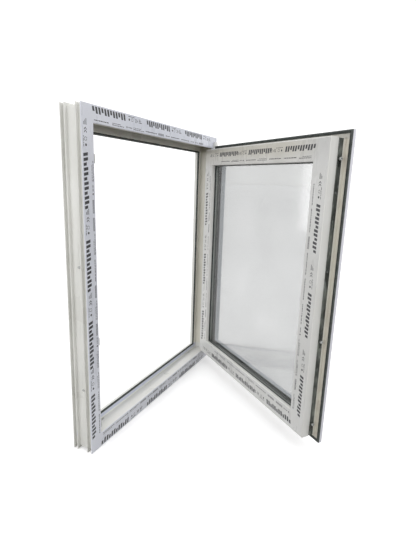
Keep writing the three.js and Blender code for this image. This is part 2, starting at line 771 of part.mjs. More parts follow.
// Shell round the gear, open where the rack runs past.
function gearCase() {
  const [low, high] = CASE_DEPTHS;
  const [bottom, top] = [HANDLE_Z - CASE_HALF, HANDLE_Z + CASE_HALF];
  const shell = box([CASE_R, low, bottom], [CASE_CAVITY_R + 1, high, top]);
  return cut(shell, [
    box([CASE_R - 1, low + 1, bottom + 1], [CASE_CAVITY_R, high - 1, top - 1]),
    bar("y", HUB_RADIUS + 0.4, low - 1, high + 1, [SPINDLE_R, HANDLE_Z]),
  ]);
}

function addLockDrive(sash) {
  const stile = new THREE.Group();
  stile.position.x = -WIDTH / 2;
  sash.add(stile);
  addMesh(stile, "faceplate_lower", "hardware", faceplate(PLATE_LEVELS[0], PLATE_LEVELS[1] - GAP));
  addMesh(stile, "faceplate_upper", "hardware", faceplate(PLATE_LEVELS[1], PLATE_LEVELS[2]));
  PLATE_SCREW_LEVELS.forEach((level, i) => {
    addMesh(stile, "faceplate_screw_" + (i + 1), "hardware", plateScrew(level));
  });
  addMesh(stile, "gear_case", "fitting", gearCase());
  addMesh(stile, "spindle_gear", "fitting", spindleGear());
  addMesh(stile, "drive_rod", "hardware", driveRod());
  for (const [name, level] of Object.entries(CAM_LEVELS)) {
    addMesh(stile, name, "fitting", cam(level));
  }
}

// Slots that let water out of the glazing rebate and out of the outside chamber.
function sashDrainCuts() {
  return [-250, 250].flatMap((middle) => [
    box([GLAZING_R - 4, 34, middle - 10], [GLAZING_R + 1, LIP_Y - GAP, middle + 10]),
    box([SIDE_R - 1, 39, middle - 50], [SIDE_R + 4, 44, middle - 30]),
  ]);
}

function buildSash() {
  const sash = new THREE.Group();
  const rails = { head: "top_rail", sill: "bottom_rail", lock: "lock_stile", hinge: "hinge_stile" };
  const cuts = { head: [], sill: sashDrainCuts(), lock: lockStileCuts(), hinge: [] };
  for (const [side, name] of Object.entries(rails)) {
    const profile = mitred(side, sashOutline(), SASH_CHAMBERS);
    const steel = squareCut(side, SASH_STEEL);
    const drilled = side === "lock" ? cut(steel, cuts.lock) : steel;
    addSide(sash, "sash_" + name, "pvc", side, cut(profile, cuts[side]));
    addSide(sash, "sash_steel_" + name, "steel", side, drilled);
    addSide(sash, "bead_" + name, "pvc", side, mitred(side, BEAD_OUTLINE, [BEAD_CHAMBER]));
  }
  const notches = ["bottom", "top"].map((end) => {
    const [low, high] = armSpan(end).sort((a, b) => a - b);
    return box([WIDTH / 2 - FLANGE_SEAT - 1, FLANGE_BACK, low - 1], [WIDTH / 2, 0, high + 1]);
  });
  addMesh(sash, "sash_gasket", "rubber", cut(ring(SASH_GASKET), notches));
  addMesh(sash, "glazing_gasket", "rubber", ring(GLAZING_GASKET));
  addMesh(sash, "bead_gasket", "rubber", ring(BEAD_GASKET));
  addMesh(sash, "pane_inner", "glass", pane(GLASS_ROOM));
  addMesh(sash, "pane_outer", "glass", pane(GLASS_OUT - PANE));
  addMesh(sash, "spacer_bar", "steel", ring(SPACER));
  addMesh(sash, "edge_seal", "sealant", ring(EDGE_SEAL));
  addPackers(sash);
  for (const end of ["bottom", "top"]) {
    addMesh(sash, "hinge_arm_" + end, "fitting", hingeArm(end));
  }
  addLockDrive(sash);
  return sash;
}

const group = new THREE.Group();
group.add(buildFrame());
const turn = new THREE.Group();
turn.position.set(HINGE_X, HINGE_Y, 0);
turn.rotation.z = OPEN_ANGLE;
group.add(turn);
const sash = buildSash();
sash.position.set(-HINGE_X, -HINGE_Y, 0);
turn.add(sash);

export default group;
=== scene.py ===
import json
import math
import random

import bmesh
import bpy
from mathutils import Matrix, Vector


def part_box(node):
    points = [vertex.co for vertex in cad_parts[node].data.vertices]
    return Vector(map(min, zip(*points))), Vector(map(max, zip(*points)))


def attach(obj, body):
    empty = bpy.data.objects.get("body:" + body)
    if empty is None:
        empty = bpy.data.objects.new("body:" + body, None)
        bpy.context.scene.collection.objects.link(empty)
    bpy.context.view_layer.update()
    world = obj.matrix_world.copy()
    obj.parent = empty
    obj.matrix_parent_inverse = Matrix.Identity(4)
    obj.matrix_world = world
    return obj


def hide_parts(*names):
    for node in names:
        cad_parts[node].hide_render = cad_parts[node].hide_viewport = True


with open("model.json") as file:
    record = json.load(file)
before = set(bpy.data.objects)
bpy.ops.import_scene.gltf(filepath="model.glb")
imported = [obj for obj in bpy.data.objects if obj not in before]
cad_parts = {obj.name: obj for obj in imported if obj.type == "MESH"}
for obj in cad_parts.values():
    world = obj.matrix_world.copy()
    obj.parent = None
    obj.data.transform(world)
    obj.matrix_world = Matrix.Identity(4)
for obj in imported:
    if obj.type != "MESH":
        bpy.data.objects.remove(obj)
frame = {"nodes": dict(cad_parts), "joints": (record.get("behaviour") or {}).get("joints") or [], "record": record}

# A casement window, seen from the room. Metres, in the frame of the CAD model. Sections are drawn as
# (r, y) in millimetres: r runs inwards from the outer edge of the outer frame and y outwards from its
# room-side face. Pieces of the sash are drawn with the sash shut and then turned open.
bpy.context.view_layer.update()
MM = 0.001

jamb_low, jamb_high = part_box("frame_jamb_lock")
LEFT = jamb_low.x
HEIGHT = jamb_low.z + jamb_high.z
TURN = next(joint for joint in frame["joints"] if joint["name"] == "sash_turn")
PIVOT = Matrix.Translation(Vector(TURN["pos_m"]))
OPEN_ANGLE = math.radians(-TURN["range_deg"][0])
OPENED = PIVOT @ Matrix.Rotation(OPEN_ANGLE, 4, Vector(TURN["axis"])) @ PIVOT.inverted()
SHUT = Matrix.Identity(4)
SIDES = ("head", "sill", "lock", "hinge")

# Millimetres.
FACE = 45.7  # width of the frame's room-side face
SASH_OUT = 50.5  # outside face of the sash
SASH_FILM_OUTER, SASH_FILM_INNER = 58.6, 118.4  # edges of the sash's film
GROOVE_Y = 15.3  # middle of the hardware groove
PLATE_BACK = 58.6  # back of the lock's faceplate
FILM_THICK = 0.16
FILM_GAP = 0.03
FILM_SEAM = 0.04  # half of the cut in the film along each mitre
PRINT_THICK = 0.04
STROKES = 12  # strokes in a block of the print

# Metres.
REBATE_FLOOR = 0.041  # depth of the frame's rebate, from the outer edge
UPSTAND_FACE = 0.055  # room-side face of the frame's upstand
FLANGE_EDGE = 0.0363  # just inside the outer edge of the sash's flange
KNUCKLE = 0.044  # height of the knuckle of a hinge arm
WHOLE = (-1, 2)  # a span that cuts nothing off a side


# ---- mesh helpers ----

def add_piece(name, mesh, body, material, place=SHUT):
    mesh.transform(place)
    piece = bpy.data.objects.new(name, mesh)
    bpy.context.scene.collection.objects.link(piece)
    piece.data.materials.append(material)
    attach(piece, body)
    return piece


def mesh_of(bm, name, smooth=True):
    bmesh.ops.recalc_face_normals(bm, faces=bm.faces)
    for face in bm.faces:
        face.smooth = smooth
    mesh = bpy.data.meshes.new(name)
    bm.to_mesh(mesh)
    bm.free()
    return mesh


def at(side, r, y, s):
    """The point at depth r from the outer edge, y from the room face and s along one side, in metres."""
    r, y = r * MM, y * MM
    if side == "head":
        return Vector((s, y, HEIGHT - r))
    if side == "sill":
        return Vector((s, y, r))
    return Vector((LEFT + r if side == "lock" else -LEFT - r, y, s))


def ends(side, r, seam=0.0):
    """Where a mitred length starts and stops along one side, at depth r."""
    if side in ("head", "sill"):
        return LEFT + (r + seam) * MM, -LEFT - (r + seam) * MM
    return (r + seam) * MM, HEIGHT - (r + seam) * MM


def arc(r, y, radius, start, stop, steps):
    angles = [math.radians(start + (stop - start) * i / steps) for i in range(steps + 1)]
    return [(r + radius * math.cos(a), y + radius * math.sin(a)) for a in angles]


def band(path, inner, outer):
    """The closed section of a thin sheet on a path of (r, y), between two distances to its right."""
    def offset(distance):
        points = []
        for i, point in enumerate(path):
            before, after = path[max(i - 1, 0)], path[min(i + 1, len(path) - 1)]
            direction = Vector((after[0] - before[0], after[1] - before[1])).normalized()
            points.append((point[0] + direction.y * distance, point[1] - direction.x * distance))
        return points
    return offset(outer) + offset(inner)[::-1]


def mitred(side, section, seam, steps=1, ripple=None, span=WHOLE):
    """A length of one section along one side: mitred, with closed ends, cut square where span is shorter."""
    bm = bmesh.new()
    rows = []
    for step in range(steps + 1):
        row = []
        for r, y in section:
            start, stop = ends(side, r, seam)
            start, stop = max(start, span[0]), min(stop, span[1])
            along = start + (stop - start) * step / steps
            lift = ripple(r, y, along) if ripple else 0
            row.append(bm.verts.new(at(side, r, y + lift, along)))
        rows.append(row)
    for row, following in zip(rows, rows[1:]):
        for i in range(len(section)):
            after = (i + 1) % len(section)
            bm.faces.new((row[i], row[after], following[after], following[i]))
    bm.faces.new(rows[0])
    bm.faces.new(rows[-1][::-1])
    return bm


def ring(section):
    """A closed ring of one section round all four sides."""
    bm = bmesh.new()
    loops = []
    for side, end in (("sill", 0), ("sill", 1), ("head", 1), ("head", 0)):
        loops.append([bm.verts.new(at(side, r, y, ends(side, r)[end])) for r, y in section])
    for i, loop in enumerate(loops):
        following = loops[(i + 1) % 4]
        for k in range(len(section)):
            after = (k + 1) % len(section)
            bm.faces.new((loop[k], loop[after], following[after], following[k]))
    return bm


def turned(profile, socket, depth, segments=48):
    """A piece turned about +Z from (radius, height) pairs, bottom first, with a shaped socket in its top."""
    bm = bmesh.new()
    angles = [2 * math.pi * i / segments for i in range(segments)]

    def loop(radius_at, height):
        points = [(radius_at(a) * math.cos(a), radius_at(a) * math.sin(a), height) for a in angles]
        return [bm.verts.new(point) for point in points]

    loops = [loop(lambda a, radius=radius: radius, height) for radius, height in profile]
    foot, top = profile[0][1], profile[-1][1]
    loops.append(loop(socket, top))
    loops.append(loop(socket, top - depth))
    for lower, upper in zip(loops, loops[1:]):
        for i in range(segments):
            after = (i + 1) % segments
            bm.faces.new((lower[i], lower[after], upper[after], upper[i]))
    for rim, height in ((loops[0], foot), (loops[-1], top - depth)):
        middle = bm.verts.new((0, 0, height))
        for i in range(segments):
            bm.faces.new((rim[i], rim[(i + 1) % segments], middle))
    bmesh.ops.scale(bm, vec=(MM, MM, MM), verts=bm.verts)
    return bm


def smooth_by_angle():
    """A modifier tree that shades smooth, except across edges sharper than 35 degrees."""
    tree = bpy.data.node_groups.new("smooth_by_angle", "GeometryNodeTree")
    tree.interface.new_socket("Geometry", in_out="INPUT", socket_type="NodeSocketGeometry")
    tree.interface.new_socket("Geometry", in_out="OUTPUT", socket_type="NodeSocketGeometry")
    nodes, link = tree.nodes, tree.links.new
    start, end = nodes.new("NodeGroupInput"), nodes.new("NodeGroupOutput")
    bare = nodes.new("GeometryNodeRemoveAttribute")
    bare.inputs["Name"].default_value = "custom_normal"
    faces = nodes.new("GeometryNodeSetShadeSmooth")
    angle = nodes.new("GeometryNodeInputMeshEdgeAngle")
    sharp = nodes.new("FunctionNodeCompare")
    sharp.operation = "GREATER_THAN"
    sharp.inputs[1].default_value = math.radians(35)
    edges = nodes.new("GeometryNodeSetShadeSmooth")
    edges.domain = "EDGE"
    edges.inputs["Shade Smooth"].default_value = False
    link(start.outputs[0], bare.inputs[0])
    link(bare.outputs[0], faces.inputs[0])
    link(faces.outputs[0], edges.inputs[0])
    link(angle.outputs["Unsigned Angle"], sharp.inputs[0])
    link(sharp.outputs[0], edges.inputs["Selection"])
    link(edges.outputs[0], end.inputs[0])
    return tree


SMOOTH = smooth_by_angle()


def shade(piece):
    smooth = piece.modifiers.new("smooth", "NODES")
    smooth.node_group = SMOOTH


def soften(piece, width):
    """Rounds a piece's hard edges by width millimetres; 0 only joins its flat faces and shades it."""
    weld = piece.modifiers.new("weld", "WELD")
    weld.merge_threshold = 1e-5
    flat = piece.modifiers.new("flat", "DECIMATE")
    flat.decimate_type = "DISSOLVE"
    flat.angle_limit = math.radians(0.5)
    if width:
        rounding = piece.modifiers.new("rounding", "BEVEL")
        rounding.width = width * MM
        rounding.segments = 2
        rounding.limit_method = "ANGLE"
        rounding.angle_limit = math.radians(35)
    shade(piece)


# ---- materials ----

class Look:
    """A node material under construction: a Principled shader fed by textures in the piece's own place."""

    def __init__(self, name, roughness=0.4, metallic=0.0, specular=0.5):
        self.material = bpy.data.materials.new(name)
        self.material.use_nodes = True
        self.tree = self.material.node_tree
        self.shader = self.tree.nodes["Principled BSDF"]
        self.shader.inputs["Metallic"].default_value = metallic
        self.shader.inputs["Specular IOR Level"].default_value = specular
        self.shader.inputs["Roughness"].default_value = roughness
        self.place = self.tree.nodes.new("ShaderNodeTexCoord").outputs["Object"]

    def link(self, start, end):
        self.tree.links.new(start, end)

    def shut(self):
        """The place of a point of the sash with the sash shut."""
        mapping = self.tree.nodes.new("ShaderNodeMapping")
        matrix = OPENED.inverted()
        mapping.inputs["Location"].default_value = matrix.to_translation()
        mapping.inputs["Rotation"].default_value = matrix.to_euler()
        self.link(self.place, mapping.inputs["Vector"])
        return mapping.outputs["Vector"]

    def noise(self, scale, detail=3.0, stretch=(1, 1, 1), place=None):
        """Soft cloudy noise, about 1 / scale metres across and stretched along the axes."""
        mapping = self.tree.nodes.new("ShaderNodeMapping")
        mapping.inputs["Scale"].default_value = stretch
        noise = self.tree.nodes.new("ShaderNodeTexNoise")
        noise.inputs["Scale"].default_value = scale
        noise.inputs["Detail"].default_value = detail
        self.link(place or self.place, mapping.inputs["Vector"])
        self.link(mapping.outputs["Vector"], noise.inputs["Vector"])
        return noise.outputs["Fac"]

    def ramp(self, value, stops):
        ramp = self.tree.nodes.new("ShaderNodeValToRGB")
        while len(ramp.color_ramp.elements) < len(stops):
            ramp.color_ramp.elements.new(0.5)
        for element, (position, colour) in zip(ramp.color_ramp.elements, stops):
            element.position = position
            element.color = (*colour, 1)
        self.link(value, ramp.inputs["Fac"])
        return ramp.outputs["Color"]

    def mix(self, amount, first, second, blend="MIX"):
        node = self.tree.nodes.new("ShaderNodeMix")
        node.data_type = "RGBA"
        node.blend_type = blend
        for name, value in (("Factor", amount), ("A", first), ("B", second)):
            if isinstance(value, tuple):
                node.inputs[name].default_value = (*value, 1)
            else:
                self.link(value, node.inputs[name])
        return node.outputs["Result"]

    def between(self, value, low, high, to_low, to_high):
        """A value mapped from one range to another and held at its ends."""
        node = self.tree.nodes.new("ShaderNodeMapRange")
        numbers = {"From Min": low, "From Max": high, "To Min": to_low, "To Max": to_high}
        for name, number in numbers.items():
            node.inputs[name].default_value = number
        self.link(value, node.inputs["Value"])
        return node.outputs["Result"]

    def above(self, value, low, high):
        """A mask that rises from 0 at low to 1 at high."""
        return self.between(value, low, high, 0, 1)

    def below(self, value, low, high):
        """A mask that falls from 1 at low to 0 at high."""
        return self.between(value, low, high, 1, 0)

    def part(self, vector, axis):
        split = self.tree.nodes.new("ShaderNodeSeparateXYZ")
        self.link(vector, split.inputs["Vector"])
        return split.outputs[axis]

    def size(self, value):
        """A value without its sign."""
        node = self.tree.nodes.new("ShaderNodeMath")
        node.operation = "ABSOLUTE"
        self.link(value, node.inputs[0])
        return node.outputs["Value"]

    def times(self, first, second):
        node = self.tree.nodes.new("ShaderNodeMath")
        node.operation = "MULTIPLY"
        self.link(first, node.inputs[0])
        self.link(second, node.inputs[1])
        return node.outputs["Value"]

    def colour(self, socket):
        self.link(socket, self.shader.inputs["Base Color"])
        return self

    def rough(self, value, low, high):
        self.link(self.between(value, 0.3, 0.7, low, high), self.shader.inputs["Roughness"])
        return self

    def bump(self, height, strength, distance):
        node = self.tree.nodes.new("ShaderNodeBump")
        node.inputs["Strength"].default_value = strength
        node.inputs["Distance"].default_value = distance
        self.link(height, node.inputs["Height"])
        self.link(node.outputs["Normal"], self.shader.inputs["Normal"])
        return self


def plastic(name, light, dark, roughness=0.3):
    """Smooth extruded plastic: cloudy tone, faint ripples and a little dust."""
    look = Look(name, roughness)
    clouds = look.noise(9, 4)
    dust = look.noise(420, 2)
    tone = look.ramp(clouds, [(0.3, dark), (0.7, light)])
    speck = look.between(dust, 0.66, 0.8, 0, 0.35)
    look.colour(look.mix(speck, tone, tuple(channel * 0.72 for channel in dark)))
    look.rough(clouds, roughness - 0.05, roughness + 0.1)
    return look.bump(look.noise(160, 3), 0.12, 0.0003)


def frame_plastic():
    """Plastic of the outer frame, with painted shade in the rebate, deeper under the head, and a painted bluish
    cast of the light on the sill's upstand.
    """
    look = Look("frame_profile_look", 0.3)
    clouds = look.noise(9, 4)
    x, y, z = (look.part(look.place, axis) for axis in "XYZ")
    tone = look.ramp(clouds, [(0.3, (0.71, 0.71, 0.675)), (0.7, (0.77, 0.77, 0.74))])
    # Painted shade: a darker olive tone in the rebate, where the sash shades the plastic.
    rebate_shade = look.ramp(look.noise(14, 4), [(0.35, (0.7, 0.68, 0.6)), (0.7, (0.8, 0.775, 0.7))])
    inner, outer = REBATE_FLOOR + 0.0005, REBATE_FLOOR - 0.0005
    between_jambs = look.below(look.size(x), -LEFT - inner, -LEFT - outer)
    clear_of_sill = look.above(z, 0.064, 0.07)
    under_head = look.below(z, HEIGHT - inner, HEIGHT - outer)
    before_upstand = look.below(y, UPSTAND_FACE - 0.0005, UPSTAND_FACE + 0.0005)
    rebate = look.times(look.times(between_jambs, clear_of_sill), look.times(under_head, before_upstand))
    # Painted shade, deeper along the rebate under the head.
    head_shade_mask = look.above(z, HEIGHT - 0.066, HEIGHT - 0.058)
    rebate_shade = look.mix(head_shade_mask, rebate_shade, (0.46, 0.44, 0.37))
    # Painted light: a bluish cast of the light on the room-side face of the sill's upstand.
    from_front = look.above(y, UPSTAND_FACE - 0.0012, UPSTAND_FACE - 0.0004)
    to_back = look.below(y, UPSTAND_FACE + 0.0004, UPSTAND_FACE + 0.0012)
    from_floor = look.above(z, 0.045, 0.047)
    to_gasket = look.below(z, 0.062, 0.066)
    upstand = look.times(look.times(from_front, to_back), look.times(to_gasket, from_floor))
    look.colour(look.mix(upstand, look.mix(rebate, tone, rebate_shade), (0.6, 0.63, 0.73)))
    look.rough(clouds, 0.25, 0.4)
    return look.bump(look.noise(160, 3), 0.12, 0.0003)


def sash_plastic():
    """Plastic of the sash: white to the room, with a painted cream shade behind the flange, deeper along the top,
    and a painted bluish shade round the edge.
    """
    look = Look("sash_profile_look", 0.32)
    clouds = look.noise(9, 4)
    shut = look.shut()
    x, y, z = (look.part(shut, axis) for axis in "XYZ")
    tone = look.ramp(clouds, [(0.3, (0.66, 0.66, 0.63)), (0.7, (0.72, 0.72, 0.7))])
    lapped = look.below(y, 0.004, 0.01)
    behind_flange = look.above(y, -0.0064, -0.0058)
    # Painted shade: a cloudy cream-to-brown tone on the flange's inner side, where the flange shades the plastic.
    flange_shade = look.ramp(look.noise(26, 5), [(0.45, (0.65, 0.63, 0.55)), (0.66, (0.575, 0.545, 0.475))])
    # Painted shade, deeper along the top side.
    top_shade_mask = look.above(z, HEIGHT - 0.062, HEIGHT - 0.056)
    flange_shade = look.mix(top_shade_mask, flange_shade, (0.42, 0.41, 0.37))
    cream = look.mix(look.times(lapped, behind_flange), tone, flange_shade)
    colour = look.mix(behind_flange, (0.76, 0.762, 0.765), cream)
    # Painted shade with a bluish cast on the outer rim of the flange.
    inside = FLANGE_EDGE + 0.0006
    beside = look.above(look.size(x), -LEFT - inside, -LEFT - FLANGE_EDGE)
    over = look.above(z, HEIGHT - inside, HEIGHT - FLANGE_EDGE)
    under = look.below(z, FLANGE_EDGE, inside)
    for rim_shade_mask in (beside, over, under):
        colour = look.mix(rim_shade_mask, colour, (0.67, 0.675, 0.73))
    look.colour(colour)
    look.rough(clouds, 0.28, 0.42)
    return look.bump(look.noise(160, 3), 0.12, 0.0003)


def film(name, light, dark, upper, on_sash=False):
    """Thin film stuck over the plastic, with wrinkles and trapped air; upper tints its top length, and on the
    frame's film it is a painted shade along the head.
    """
    look = Look(name, 0.3)
    wrinkles = look.noise(34, 5, (1, 1, 0.35))
    tone = look.ramp(look.noise(14, 4), [(0.3, dark), (0.7, light)])
    place = look.shut() if on_sash else look.place
    high = look.above(look.part(place, "Z"), HEIGHT - 0.13, HEIGHT - 0.08)
    past_corner = look.above(look.part(place, "X"), LEFT + 0.09, LEFT + 0.22)
    tone = look.mix(look.times(high, past_corner), tone, upper, "MULTIPLY")
    bubbles = look.between(look.noise(240, 3), 0.62, 0.72, 0, 0.5)
    look.colour(look.mix(bubbles, tone, tuple(channel * 0.86 for channel in dark)))
    look.rough(wrinkles, 0.22, 0.42)
    look.shader.inputs["Coat Weight"].default_value = 0.25
    look.shader.inputs["Coat Roughness"].default_value = 0.18
    return look.bump(wrinkles, 0.3, 0.0008)


def ink():
    """Black print, thinner in places."""
    look = Look("film_print_look", 0.45)
    look.colour(look.ramp(look.noise(300, 3), [(0.35, (0.012, 0.012, 0.014)), (0.75, (0.07, 0.07, 0.08))]))
    return look.rough(look.noise(120, 2), 0.35, 0.55)


def small_ink():
    """Ink of the small print, a little duller."""
    look = Look("film_small_print_look", 0.5)
    look.colour(look.ramp(look.noise(300, 3), [(0.35, (0.015, 0.015, 0.018)), (0.75, (0.07, 0.07, 0.08))]))
    return look.rough(look.noise(120, 2), 0.4, 0.6)


def rubber(name, light, dark):
    """Black rubber, matt and cloudy."""
    look = Look(name, 0.6, specular=0.35)
    look.colour(look.ramp(look.noise(60, 4), [(0.3, dark), (0.75, light)]))
    look.rough(look.noise(90, 3), 0.5, 0.72)
    return look.bump(look.noise(700, 2), 0.15, 0.0002)


def coated_metal():
    """Dark grey-green coat of the lock hardware, mottled and rubbed along the strip."""
    look = Look("lock_metal_look", 0.4, metallic=0.45)
    mottle = look.noise(48, 5, (1, 1, 0.45))
    stops = [(0.3, (0.021, 0.025, 0.021)), (0.52, (0.068, 0.075, 0.066)), (0.75, (0.18, 0.195, 0.17))]
    tone = look.ramp(mottle, stops)
    rubs = look.between(look.noise(260, 3, (1, 1, 0.2)), 0.6, 0.72, 0, 0.6)
    look.colour(look.mix(rubs, tone, (0.3, 0.33, 0.31)))
    look.rough(mottle, 0.3, 0.55)
    return look.bump(look.noise(500, 3, (1, 1, 0.3)), 0.2, 0.0002)


def bright_metal(name, light, dark, roughness=0.3):
    """Plated metal with fine brushing and cloudy plating."""
    look = Look(name, roughness, 0.9)
    look.colour(look.ramp(look.noise(70, 5), [(0.3, dark), (0.7, light)]))
    brushing = look.noise(900, 2, (1, 1, 0.06))
    look.rough(brushing, roughness - 0.08, roughness + 0.16)
    return look.bump(brushing, 0.12, 0.0001)


def spacer_metal():
    """Spacer bar: dark, with a lighter strip along its outer half."""
    look = Look("spacer_look", 0.4, 0.4)
    strip = look.above(look.part(look.shut(), "Y"), 0.0225, 0.0235)
    dark = look.ramp(look.noise(70, 4), [(0.3, (0.07, 0.078, 0.072)), (0.7, (0.1, 0.11, 0.102))])
    look.colour(look.mix(strip, dark, (0.4, 0.42, 0.4)))
    return look.rough(look.noise(400, 2), 0.35, 0.5)


def galvanised():
    """Zinc spangle of the steel bars."""
    look = Look("steel_bar_look", 0.38, 0.85)
    spangle = look.tree.nodes.new("ShaderNodeTexVoronoi")
    spangle.inputs["Scale"].default_value = 140
    look.link(look.place, spangle.inputs["Vector"])
    cell = look.part(spangle.outputs["Color"], "X")
    look.colour(look.ramp(cell, [(0.0, (0.4, 0.42, 0.44)), (1.0, (0.62, 0.64, 0.66))]))
    look.link(look.between(cell, 0, 1, 0.3, 0.5), look.shader.inputs["Roughness"])
    return look


def moulded(name, light, dark, roughness=0.45):
    """Moulded plastic or paint, with a fine grain."""
    look = Look(name, roughness)
    look.colour(look.ramp(look.noise(40, 4), [(0.3, dark), (0.7, light)]))
    look.rough(look.noise(120, 3), roughness - 0.06, roughness + 0.1)
    return look.bump(look.noise(1400, 2), 0.12, 0.0001)


def clear_glass():
    """A pane's surface: a faint grey tint, with a mirror sheen that grows at grazing angles."""
    material = bpy.data.materials.new("glass_look")
    material.use_nodes = True
    tree = material.node_tree
    tree.nodes.remove(tree.nodes["Principled BSDF"])
    output = tree.nodes["Material Output"]
    place = tree.nodes.new("ShaderNodeTexCoord")
    noise = tree.nodes.new("ShaderNodeTexNoise")
    noise.inputs["Scale"].default_value = 5
    tint = tree.nodes.new("ShaderNodeValToRGB")
    tint.color_ramp.elements[0].position = 0.35
    tint.color_ramp.elements[0].color = (0.841, 0.843, 0.842, 1)
    tint.color_ramp.elements[1].position = 0.7
    tint.color_ramp.elements[1].color = (0.859, 0.861, 0.86, 1)
    clear = tree.nodes.new("ShaderNodeBsdfTransparent")
    sheen = tree.nodes.new("ShaderNodeBsdfGlossy")
    sheen.inputs["Roughness"].default_value = 0.08
    facing = tree.nodes.new("ShaderNodeLayerWeight")
    steep = tree.nodes.new("ShaderNodeMath")
    steep.operation = "POWER"
    steep.inputs[1].default_value = 5
    share = tree.nodes.new("ShaderNodeMapRange")
    share.inputs["To Min"].default_value = 0.04
    mix = tree.nodes.new("ShaderNodeMixShader")
    tree.links.new(place.outputs["Object"], noise.inputs["Vector"])
    tree.links.new(noise.outputs["Fac"], tint.inputs["Fac"])
    tree.links.new(tint.outputs["Color"], clear.inputs["Color"])
    tree.links.new(facing.outputs["Facing"], steep.inputs[0])
    tree.links.new(steep.outputs["Value"], share.inputs["Value"])
    tree.links.new(share.outputs["Result"], mix.inputs["Fac"])
    tree.links.new(clear.outputs["BSDF"], mix.inputs[1])
    tree.links.new(sheen.outputs["BSDF"], mix.inputs[2])
    tree.links.new(mix.outputs["Shader"], output.inputs["Surface"])
    return material


MATERIALS = {
    "frame_profile": frame_plastic().material,
    "sash_profile": sash_plastic().material,
    # The bead is white plastic; its lighter, bluish tone is painted light, standing in for the light on it behind
    # the glass.
    "glazing_bead": plastic("glazing_bead_look", (0.78, 0.82, 0.87), (0.72, 0.76, 0.81)).material,
    "cover_cap": moulded("cover_cap_look", (0.74, 0.74, 0.72), (0.68, 0.68, 0.66)).material,
    "steel_bar": galvanised().material,
    "gasket": rubber("gasket_look", (0.075, 0.085, 0.078), (0.03, 0.036, 0.034)).material,
    "glass": clear_glass(),
    "spacer": spacer_metal().material,
    "edge_seal": rubber("edge_seal_look", (0.03, 0.03, 0.032), (0.012, 0.012, 0.013)).material,
    "packer": moulded("packer_look", (0.06, 0.17, 0.4), (0.04, 0.12, 0.3)).material,
    "lock_metal": coated_metal().material,
    "zinc_fitting": bright_metal("zinc_fitting_look", (0.44, 0.45, 0.44), (0.28, 0.29, 0.28)).material,
    "hinge_metal": moulded("hinge_metal_look", (0.72, 0.72, 0.7), (0.65, 0.65, 0.63), 0.35).material,
    "screw": bright_metal("screw_look", (0.46, 0.47, 0.46), (0.32, 0.33, 0.32), 0.35).material,
    "plate_screw": bright_metal("plate_screw_look", (0.2, 0.21, 0.2), (0.1, 0.105, 0.1), 0.4).material,
    # The frame film's upper tint is painted shade along the head.
    "frame_film": film("frame_film_look", (0.71, 0.725, 0.785), (0.65, 0.665, 0.73),
                       (0.9, 0.91, 0.93)).material,
    "sash_film": film("sash_film_look", (0.66, 0.66, 0.65), (0.6, 0.6, 0.585),
                      (1, 0.965, 0.88), on_sash=True).material,
    "film_print": ink().material,
    "film_small_print": small_ink().material,
}
SLOTS = {row["node"]: row["material_slot"] for row in frame["record"]["subparts"]}
ROUNDING = {
    "frame_profile": 0.35,
    "sash_profile": 0.35,
    "glazing_bead": 0.3,
    "cover_cap": 0.5,
    "hinge_metal": 0.45,
    "zinc_fitting": 0.3,
    "lock_metal": 0.2,
    "packer": 0.4,
    "gasket": 0.25,
    "screw": 0,
}


def dress_cad():
    """Gives each CAD node the material of its slot, and rounds its edges where they show."""
    for name, node in frame["nodes"].items():
        slot = SLOTS[name]
        node.material_slots[0].link = "OBJECT"
        node.material_slots[0].material = MATERIALS[slot]
        if slot in ROUNDING:
            soften(node, ROUNDING[slot])


# ---- protective film and its print ----

def build_films():
    """Four sheets on the frame's room side and four on the sash's outside, with edges that lift in places."""
    across = [(r, 0) for r in (0.4, 2, 8, 22, 36, 42)]
    flat_path = across + arc(FACE - 1.5, 1.5, 1.5, -90, -10, 5)
    wrapped_path = [(0, 2.7), (0, 1.4), *arc(0.35, 0.35, 0.35, 180, 270, 3), *flat_path[1:]]
    sash_path = [(r, SASH_OUT) for r in (SASH_FILM_INNER, 114, 100, 88, 74, 62, SASH_FILM_OUTER)]
    chance = random.Random(7)
    phases = [chance.uniform(0, 6.3) for _ in range(8)]

    def lifted(edges, outwards):
        """How far the film stands off near the edges at some depths r."""
        def ripple(r, y, along):
            near = max(0.0, 1 - min(abs(r - edge) for edge in edges) / 2.2)
            wave = sum(math.sin(along * (23 + 17 * k) + phases[k]) for k in range(5)) / 5
            return outwards * near * max(0.0, wave) * 0.55
        return ripple

    for side in SIDES:
        path = flat_path if side == "sill" else wrapped_path
        section = band(path, FILM_GAP, FILM_GAP + FILM_THICK)
        span = (0, HEIGHT) if side in ("lock", "hinge") else WHOLE
        sheet = mitred(side, section, FILM_SEAM, 90, lifted((FACE + 0.3,), -1), span)
        mesh = mesh_of(sheet, "frame_film")
        shade(add_piece("frame_film_" + side, mesh, "frame", MATERIALS["frame_film"]))
        section = band(sash_path, FILM_GAP, FILM_GAP + FILM_THICK)
        sheet = mitred(side, section, FILM_SEAM, 90, lifted((SASH_FILM_OUTER, SASH_FILM_INNER), 1))
        mesh = mesh_of(sheet, "sash_film")
        shade(add_piece("sash_film_" + side, mesh, "sash", MATERIALS["sash_film"], OPENED))


def rounded_bar(x, y, length, height, corner):
    """Outline of a bar that starts at x and is centred on y, with round corners."""
    corner = min(corner, height / 2, length / 2)
    points = []
    corners = ((x + length - corner, y + height / 2 - corner), (x + corner, y + height / 2 - corner),
               (x + corner, y - height / 2 + corner), (x + length - corner, y - height / 2 + corner))
    for i, (cx, cy) in enumerate(corners):
        points += arc(cx, cy, corner, 90 * i, 90 * (i + 1), 3)
    return points


def disc(x, y, radius, steps=20):
    return arc(x, y, radius, 0, 360 - 360 / steps, steps - 1)


